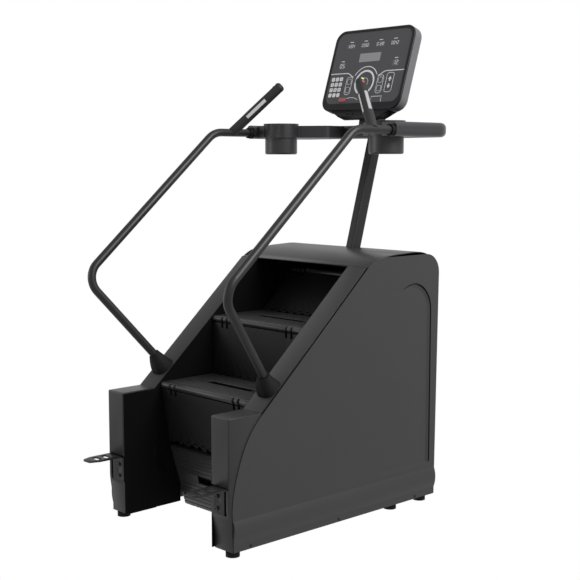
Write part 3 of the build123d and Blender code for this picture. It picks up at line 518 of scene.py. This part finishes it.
def lay_link(shape, comb, angle, name, finish):
    """Copies a shape onto a link that leaves its comb hinge at an angle, as seen from the right."""
    turn = math.radians(angle)
    across = Matrix(((0, 0, -1), (math.cos(turn), math.sin(turn), 0), (math.sin(turn), -math.cos(turn), 0)))
    piece = bpy.data.objects.new(name, shape.data.copy())
    bpy.context.scene.collection.objects.link(piece)
    piece.data.transform(Matrix.Translation(comb) @ across.to_4x4())
    piece.data.materials.clear()
    piece.data.materials.append(finish)
    return piece


def link_end(start, distance, angle):
    """The far hinge of a link."""
    turn = math.radians(angle)
    return start + distance * Vector((0, math.cos(turn), math.sin(turn)))


def angle_between(start, end):
    """A link's angle, up from the walking direction."""
    return math.degrees(math.atan2(end.z - start.z, end.y - start.y))


nose_1 = hinges["riser_low_fold"]
comb_6 = hinges["tread_low_fold"]
comb_2 = hinges["riser_high_fold"]
nose_3 = hinges["tread_high_fold"]
comb_5 = hinges["riser_closing_fold"]
comb_1 = link_end(nose_1, step_run, 0)
tread_6_angle = -74
tread_3_angle = 115
comb_3 = link_end(nose_3, -step_run, tread_3_angle)
comb_4 = link_end(comb_5, step_run, 0) + Vector((0, 0, step_rise))
nose_6 = link_end(comb_6, step_run, tread_6_angle)

links = [
    ("tread_1", tread_shape, comb_1, 180, "steps_front"),
    ("tread_2", tread_shape, comb_2, 180, "steps_front"),
    ("tread_3", tread_shape, comb_3, tread_3_angle, "tread_high"),
    ("tread_6", tread_shape, comb_6, tread_6_angle, "tread_low"),
    ("riser_1", riser_shape, comb_6, angle_between(comb_6, nose_1), "riser_low"),
    ("riser_2", riser_shape, comb_1, 90, "steps_front"),
    ("riser_3", riser_shape, comb_2, angle_between(comb_2, nose_3), "riser_high"),
    ("riser_6", closing_shape, comb_5, angle_between(comb_5, nose_6), "riser_closing"),
]
for node, shape, comb, angle, body in links:
    tread_like = shape is tread_shape
    link = lay_link(shape, comb, angle, node + "_moulding", tread_nylon if tread_like else riser_nylon_shaded)
    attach(link, body)
    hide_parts(node)
    if tread_like:
        # The black liner in each tread's slot is painted shade
        liner = lay_link(liner_shape, comb, angle, node + "_slot_shade_liner", shade_black_sheet)
        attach(liner, body)

returning = [
    lay_link(tread_shape, comb_4, 0, "return_tread_upper", tread_nylon),
    lay_link(tread_shape, comb_5, 0, "return_tread_lower", tread_nylon),
    lay_link(short_riser_shape, comb_3, -90, "return_riser_upper", riser_nylon_shaded),
    lay_link(riser_shape, comb_4, -90, "return_riser_lower", riser_nylon_shaded),
]
for link in returning:
    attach(link, "steps_return")
    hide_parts("return_steps")
for shape in (tread_shape, liner_shape, riser_shape, closing_shape, short_riser_shape):
    bpy.data.objects.remove(shape)

# ------------------------------------------------------------------ handrails, boots and mast
# Bent 36 mm steel tubes, powder coated, that rise out of moulded rubber boots on the sloping caps.
# Rubber collars close the gap where each tube enters the crossbar's moulding.
for node in ("handrail_left", "handrail_right", "mast"):
    dress(node, powder_coat)
for node in ("rail_boots", "rail_collars"):
    dress(node, rubber)

# ------------------------------------------------------------------ crossbar, cup holders and bracket
# Gas-assisted ABS moulding over the handrails' level runs, with a cup holder and tray screwed to each
# side and a moulded cover over the console's bracket. Satin, a shade glossier than the casings.
bar_abs = new_finish("moulded_abs_black_satin")
mould_grain(bar_abs, "#19191b", 3.0, 0.32, 0.42)
for node in ("crossbar_housing", "cup_tray_left", "cup_tray_right", "console_bracket"):
    dress(node, bar_abs)

# ------------------------------------------------------------------ pulse grips
# Closed-cell PVC foam sleeves pushed over the grip tubes, with a brushed stainless contact plate let
# into the side that faces the user and a red and a green key near the tip.

# PVC foam skin: dull, finely pitted; pits are drawn at 2 mm to show
grip_foam = new_finish("pvc_foam_black")
place = add_node(grip_foam, "TexCoord")["Object"]
pits = add_node(grip_foam, "TexVoronoi", {"Scale": per_metre(2)}, {"Vector": place})["Distance"]
relief = add_node(grip_foam, "Bump", {"Strength": 0.4, "Distance": 0.0004}, {"Height": pits})["Normal"]
dull = add_node(grip_foam, "MapRange", {"To Min": 0.55, "To Max": 0.75}, {"Value": pits})["Result"]
skin = add_node(
    grip_foam,
    "BsdfPrincipled",
    {"Base Color": linear("#0d0d0e"), "IOR": 1.5, "Specular IOR Level": 0.3},
    {"Roughness": dull, "Normal": relief},
)["BSDF"]
add_node(grip_foam, "OutputMaterial", links={"Surface": skin})

# Stainless steel strip, brushed along its length: streaks 0.6 mm wide and 60 mm long
stainless = new_finish("stainless_brushed")
place = add_node(stainless, "TexCoord")["Object"]
along_grip = add_node(
    stainless, "Mapping", {"Scale": (1.0, 1.0, 0.04)}, {"Vector": place}
)["Vector"]
streaks = add_node(
    stainless, "TexNoise", {"Scale": per_metre(1.2), "Detail": 2.0}, {"Vector": along_grip}
)["Fac"]
brushing = add_node(stainless, "MapRange", {"To Min": 0.26, "To Max": 0.42}, {"Value": streaks})["Result"]
skin = add_node(
    stainless, "BsdfPrincipled", {"Base Color": linear("#b4b4b6"), "Metallic": 1.0}, {"Roughness": brushing}
)["BSDF"]
add_node(stainless, "OutputMaterial", links={"Surface": skin})


def key_plastic(name, colour):
    """Silk-gloss polycarbonate key cap, evenly coloured with a slight mottle."""
    finish = new_finish(name)
    where = add_node(finish, "TexCoord")["Object"]
    mottle = add_node(finish, "TexNoise", {"Scale": per_metre(6)}, {"Vector": where})["Fac"]
    gloss = add_node(finish, "MapRange", {"To Min": 0.25, "To Max": 0.36}, {"Value": mottle})["Result"]
    surface = add_node(
        finish, "BsdfPrincipled", {"Base Color": linear(colour), "IOR": 1.58}, {"Roughness": gloss}
    )["BSDF"]
    add_node(finish, "OutputMaterial", links={"Surface": surface})
    return finish


red_key = key_plastic("polycarbonate_red", "#6f2b2a")
green_key = key_plastic("polycarbonate_yellow_green", "#7d8a42")
for side in ("left", "right"):
    dress("grip_" + side, grip_foam)
    dress("grip_down_key_" + side, red_key)
    dress("grip_up_key_" + side, green_key)
dress("contact_plates", stainless)

# ------------------------------------------------------------------ console
# Two-part ABS housing with a black bezel, a screen-printed polyester film over a membrane keypad,
# grey display windows with lit segments, and one travelling stop key.
console_abs = new_finish("moulded_abs_mid_grey")
mould_grain(console_abs, "#444446", 3.0, 0.4, 0.5)
bezel_abs = new_finish("moulded_abs_bezel_black")
mould_grain(bezel_abs, "#0d0d0e", 3.0, 0.35, 0.45, 0.15)
# Matt polyester film, printed on its back: the velvet texture is drawn at 2 mm to show
film_grey = new_finish("polyester_film_grey")
mould_grain(film_grey, "#353537", 2.0, 0.42, 0.52, 0.2)
dress("console_housing", console_abs)
dress("console_bezel", bezel_abs)
dress("console_panel", film_grey)
dress("stop_key", red_key)

# Smoked acrylic window with the light-grey filter behind it
window_acrylic = new_finish("acrylic_window_grey")
place = add_node(window_acrylic, "TexCoord")["Object"]
haze = add_node(window_acrylic, "TexNoise", {"Scale": per_metre(25)}, {"Vector": place})["Fac"]
gloss = add_node(window_acrylic, "MapRange", {"To Min": 0.18, "To Max": 0.3}, {"Value": haze})["Result"]
skin = add_node(
    window_acrylic, "BsdfPrincipled", {"Base Color": linear("#3a3b3d"), "IOR": 1.49}, {"Roughness": gloss}
)["BSDF"]
add_node(window_acrylic, "OutputMaterial", links={"Surface": skin})
dress("display_windows", window_acrylic)

press = next(joint for joint in frame["joints"] if joint["name"] == "stop_key_press")
face_normal = -Vector(press["axis"]).normalized()
face_up = face_normal.cross(Vector((1, 0, 0)))
film_low, film_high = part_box("console_panel")
film_half = 0.00175
film_rise = 0.010
face_middle = (film_low + film_high) / 2 + film_half * face_normal - film_rise * face_up
ink_thick = 0.0003


def on_face(x, y, lift=0.0):
    """A point on the console's film, in millimetres right of and above its middle."""
    return face_middle + Vector((x / 1000, 0, 0)) + face_up * (y / 1000) + face_normal * lift


def ink_patch(points, lift=0.0):
    """A printed patch with this outline, as a thin raised film of ink."""
    bpy.ops.mesh.primitive_circle_add(vertices=len(points), fill_type="NGON")
    patch = bpy.context.active_object
    for vertex, (x, y) in zip(patch.data.vertices, points):
        vertex.co = on_face(x, y, lift)
    patch.location = (0, 0, 0)
    bpy.ops.object.mode_set(mode="EDIT")
    bpy.ops.mesh.select_all(action="SELECT")
    bpy.ops.mesh.extrude_region_move(TRANSFORM_OT_translate={"value": face_normal * ink_thick})
    bpy.ops.mesh.select_all(action="SELECT")
    bpy.ops.mesh.normals_make_consistent(inside=False)
    bpy.ops.object.mode_set(mode="OBJECT")
    return patch


def ink_line(points, width, closed=False):
    """Printed line along points, in millimetres, as a row of mitred patches."""
    count = len(points)
    edges = []
    for i, (x, y) in enumerate(points):
        before = points[i - 1] if closed or i else points[i]
        after = points[(i + 1) % count] if closed or i < count - 1 else points[i]
        along = Vector((after[0] - before[0], after[1] - before[1])).normalized()
        edges.append(Vector((x, y)) + Vector((-along.y, along.x)) * width / 2)
    inner = [2 * Vector(p) - e for p, e in zip(points, edges)]
    spans = range(count if closed else count - 1)
    return [
        ink_patch([edges[i], edges[(i + 1) % count], inner[(i + 1) % count], inner[i]]) for i in spans
    ]


def round_box(x, y, wide, tall, radius, steps=4):
    """Outline of a rounded rectangle about a middle."""
    points = []
    for corner, (sx, sy) in enumerate(((1, 1), (-1, 1), (-1, -1), (1, -1))):
        for i in range(steps + 1):
            a = math.radians(90 * corner + 90 * i / steps)
            points.append(
                (
                    x + sx * (wide / 2 - radius) + radius * math.cos(a),
                    y + sy * (tall / 2 - radius) + radius * math.sin(a),
                )
            )
    return points


def arc(x, y, radius, start, end, steps):
    """Points along an arc, in degrees."""
    turns = [math.radians(start + (end - start) * i / steps) for i in range(steps + 1)]
    return [(x + radius * math.cos(a), y + radius * math.sin(a)) for a in turns]


def finish_print(patches, name, finish):
    """Joins printed patches into one piece on the console."""
    made = join_all(patches, name)
    made.data.materials.clear()
    made.data.materials.append(finish)
    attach(made, "machine")


def ink(name, colour, rough):
    """Screen ink: opaque, with a slightly uneven lay."""
    finish = new_finish(name)
    where = add_node(finish, "TexCoord")["Object"]
    lay = add_node(finish, "TexNoise", {"Scale": per_metre(3)}, {"Vector": where})["Fac"]
    gloss = add_node(finish, "MapRange", {"To Min": rough, "To Max": rough + 0.1}, {"Value": lay})["Result"]
    surface = add_node(finish, "BsdfPrincipled", {"Base Color": linear(colour)}, {"Roughness": gloss})["BSDF"]
    add_node(finish, "OutputMaterial", links={"Surface": surface})
    return finish


# The chin under the film hides the bracket's head and holds two small sockets
chin_top = [(-205, -186), (205, -186), (130, -226), (-130, -226)]
chin_front = -0.010
chin_deep = 0.050
socket_radius = 4
socket_deep = 0.008
chin = prism([on_face(x, y, chin_front) for x, y in chin_top], -face_normal * chin_deep, "console_chin")
round_edges(chin, 0.004, 3, 20)
for middle in (-72, -38):
    ring = arc(middle, -213, socket_radius, 0, 337.5, 15)
    drill = prism([on_face(x, y, chin_front + 0.001) for x, y in ring], -face_normal * socket_deep, "drill")
    cut_with(chin, drill)
cut_with(chin, bench_copy("console_bracket", "bracket_tool"))
chin.data.materials.append(bezel_abs)
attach(chin, "machine")

pale_ink = ink("screen_ink_grey", "#a3a3a4", 0.45)
dark_ink = ink("screen_ink_dark", "#2a2a2c", 0.45)

dial_y = -66
dial_r = 77
white = []
shoulder = [(228, -16), (124, -16), (112, -18), (100, -24), (88, -32), (76, -37)]
white += ink_line(shoulder, 4)
white += ink_line([(-x, y) for x, y in shoulder], 4)
white += ink_line(arc(0, dial_y, dial_r, 28, 152, 18), 4)
white += ink_line(arc(0, dial_y, 56, -62, 242, 40), 9)
white += ink_line(round_box(-97, -78, 36, 86, 14), 2.2, closed=True)
white += ink_line(round_box(97, -78, 36, 86, 14), 2.2, closed=True)
white += ink_line(round_box(154, -72, 42, 92, 12), 2.4, closed=True)
for x in (-97, 97):
    for y in (-58, -98):
        white += ink_line(round_box(x, y, 24, 26, 6), 1.6, closed=True)
for y in (-52, -92):
    turn = 1 if y > -72 else -1
    white.append(ink_patch([(144, y - 5 * turn), (164, y - 5 * turn), (154, y + 9 * turn)]))
    white.append(ink_patch(round_box(154, y - 10 * turn, 7, 8, 1)))
white += ink_line([(-90, -140), (-70, -137), (-48, -138), (-30, -143), (-20, -150)], 2.4)
white += ink_line([(64, -162), (64, -136), (126, -136), (126, -162)], 2.6)
white += ink_line(round_box(0, dial_y, 44, 44, 21), 2, closed=True)
white.append(ink_patch([(-7, dial_y - 11), (13, dial_y), (-7, dial_y + 11)]))
key_pitch = 26
pad_keys = []
for i in range(12):
    x = -178 + (i % 3 - 1) * key_pitch
    y = -82 - (i // 3 - 1.5) * key_pitch
    pad_keys.append((x, y))
    white.append(ink_patch(round_box(x, y, 20, 19, 5)))

# Each bar of a digit: how far right and up its middle is, in half sizes, and whether it lies flat
segments = {
    "a": (0, 1, True),
    "b": (0.5, 0.5, False),
    "c": (0.5, -0.5, False),
    "d": (0, -1, True),
    "e": (-0.5, -0.5, False),
    "f": (-0.5, 0.5, False),
    "g": (0, 0, True),
}
digits = {"0": "abcdef", "1": "bc", "2": "abged", "3": "abgcd", "4": "fgbc", "5": "afgcd", "8": "abcdefg"}


def lit_digit(x, y, tall, value):
    """Lit bars of a seven-segment digit."""
    bars = []
    wide = tall * 0.5
    thick = tall * 0.13
    for name in digits[value]:
        sx, sy, flat = segments[name]
        cx = x + sx * wide
        cy = y + sy * tall / 2
        long = wide - thick if flat else tall / 2 - thick
        half = Vector((long / 2, 0)) if flat else Vector((0, long / 2))
        side = Vector((0, thick / 2)) if flat else Vector((thick / 2, 0))
        middle = Vector((cx, cy))
        low, high = middle - half, middle + half
        bars.append(ink_patch([low - side, high - side, high + side, low + side]))
    return bars


for x, reading in ((-136, "1204"), (-47, "0350"), (47, "0128"), (136, "0042")):
    for i, value in enumerate(reading):
        white += lit_digit(x + (i - 1.5) * 11.5, 118, 15, value)
    white.append(ink_patch(round_box(x, 138, 22, 3.4, 1.5)))
for x, reading in ((-166, "05"), (166, "12")):
    for i, value in enumerate(reading):
        white += lit_digit(x + (i - 0.5) * 16, 22, 20, value)
    white.append(ink_patch(round_box(x, 44, 20, 3.4, 1.5)))
finish_print(white, "console_print_white", pale_ink)

dark = []
for i, (x, y) in enumerate(pad_keys[:9]):
    label = bpy.data.curves.new("key_number", "FONT")
    label.body = str(i + 1)
    label.size = 0.013
    label.extrude = ink_thick / 2
    label.align_x = "CENTER"
    label.align_y = "CENTER"
    number = bpy.data.objects.new("key_number", label)
    bpy.context.scene.collection.objects.link(number)
    only(number)
    bpy.ops.object.convert(target="MESH")
    turn = Matrix((Vector((1, 0, 0)), face_up, face_normal)).transposed().to_4x4()
    number.data.transform(Matrix.Translation(on_face(x, y, 1.5 * ink_thick)) @ turn)
    dark.append(number)
finish_print(dark, "keypad_numbers", dark_ink)

# The dot matrix window: a pale grey diffuser with its dots at 3.2 mm
matrix_grey = new_finish("diffuser_dot_matrix")
place = add_node(matrix_grey, "TexCoord")["Object"]
dots = add_node(matrix_grey, "TexVoronoi", {"Scale": per_metre(3.2), "Randomness": 0.0}, {"Vector": place})
dot_shade = {"From Max": 0.5, "To Min": 0.7, "To Max": 1.05}
lit = add_node(matrix_grey, "MapRange", dot_shade, {"Value": dots["Distance"]})
tint = add_node(matrix_grey, "HueSaturation", {"Color": linear("#656566")}, {"Value": lit["Result"]})["Color"]
skin = add_node(matrix_grey, "BsdfPrincipled", {"Roughness": 0.35}, {"Base Color": tint})["BSDF"]
add_node(matrix_grey, "OutputMaterial", links={"Surface": skin})
finish_print([ink_patch(round_box(0, 56, 130, 42, 2))], "matrix_window_face", matrix_grey)

# ------------------------------------------------------------------ entry steps, bolts and screws
# Laser-cut 7 mm steel plates folded and welded, powder coated, each held by two cap screws. The
# screws are black oxide on steel.
for side in ("left", "right"):
    plate = bench_copy("entry_step_" + side, "entry_step_plate_" + side)
    round_edges(plate, 0.001, 2, 30)
    plate.data.materials.append(powder_coat)
    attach(plate, "machine")
    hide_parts("entry_step_" + side)

# Black oxide: a thin magnetite skin, nearly black, with a soft metallic sheen where it is handled
black_oxide = new_finish("black_oxide_steel")
place = add_node(black_oxide, "TexCoord")["Object"]
worn = add_node(black_oxide, "TexNoise", {"Scale": per_metre(5), "Detail": 3.0}, {"Vector": place})["Fac"]
sheen = add_node(black_oxide, "MapRange", {"To Min": 0.3, "To Max": 0.5}, {"Value": worn})["Result"]
skin = add_node(
    black_oxide, "BsdfPrincipled", {"Base Color": linear("#2b2c2e"), "Metallic": 0.8}, {"Roughness": sheen}
)["BSDF"]
add_node(black_oxide, "OutputMaterial", links={"Surface": skin})
for node in ("bracket_bolts", "skirt_screws"):
    dress(node, black_oxide)

# ------------------------------------------------------------------ levelling feet
# Moulded rubber pads on threaded studs, screwed up into the frame's rails.
dress("levelling_feet", rubber)

# ------------------------------------------------------------------ studio
# A back-lit white floor and a white sky, so that no horizon or shadow shows, one large soft light high
# to the right, and a weaker fill on the left.
bpy.ops.mesh.primitive_plane_add(size=60, location=(0, 0, 0))
floor = bpy.context.active_object
floor.name = "floor"
paper = new_finish("studio_paper")
skin = add_node(paper, "Emission", {"Color": linear("#ffffff"), "Strength": 1.0})["Emission"]
add_node(paper, "OutputMaterial", links={"Surface": skin})
floor.data.materials.append(paper)

sky = bpy.data.worlds.new("studio_sky")
bpy.context.scene.world = sky
sky.use_nodes = True
sky.node_tree.nodes["Background"].inputs["Color"].default_value = (1, 1, 1, 1)
sky.node_tree.nodes["Background"].inputs["Strength"].default_value = 1.0


def soft_light(name, place, target, size, power):
    """A square area light turned to face a point."""
    bulb = bpy.data.lights.new(name, "AREA")
    bulb.size = size
    bulb.energy = power
    lamp = bpy.data.objects.new(name, bulb)
    bpy.context.scene.collection.objects.link(lamp)
    lamp.location = place
    lamp.rotation_euler = (Vector(target) - Vector(place)).to_track_quat("-Z", "Y").to_euler()


soft_light("key", (3.6, 0.6, 4.0), (0, 0, 0.9), 2.4, 400)
soft_light("fill", (-2.2, -2.6, 1.4), (-0.3, -0.6, 0.5), 1.6, 30)

view = bpy.data.cameras.new("camera")
view.sensor_width = 36
view.lens = 72.49
camera = bpy.data.objects.new("camera", view)
bpy.context.scene.collection.objects.link(camera)
camera_turn = 46.55
camera_dip = 6.41
camera.location = (3.7076, -3.3914, 1.5348)
camera.rotation_euler = (math.radians(90 - camera_dip), 0, math.radians(camera_turn))
bpy.context.scene.camera = camera
bpy.context.scene.view_settings.view_transform = "Standard"
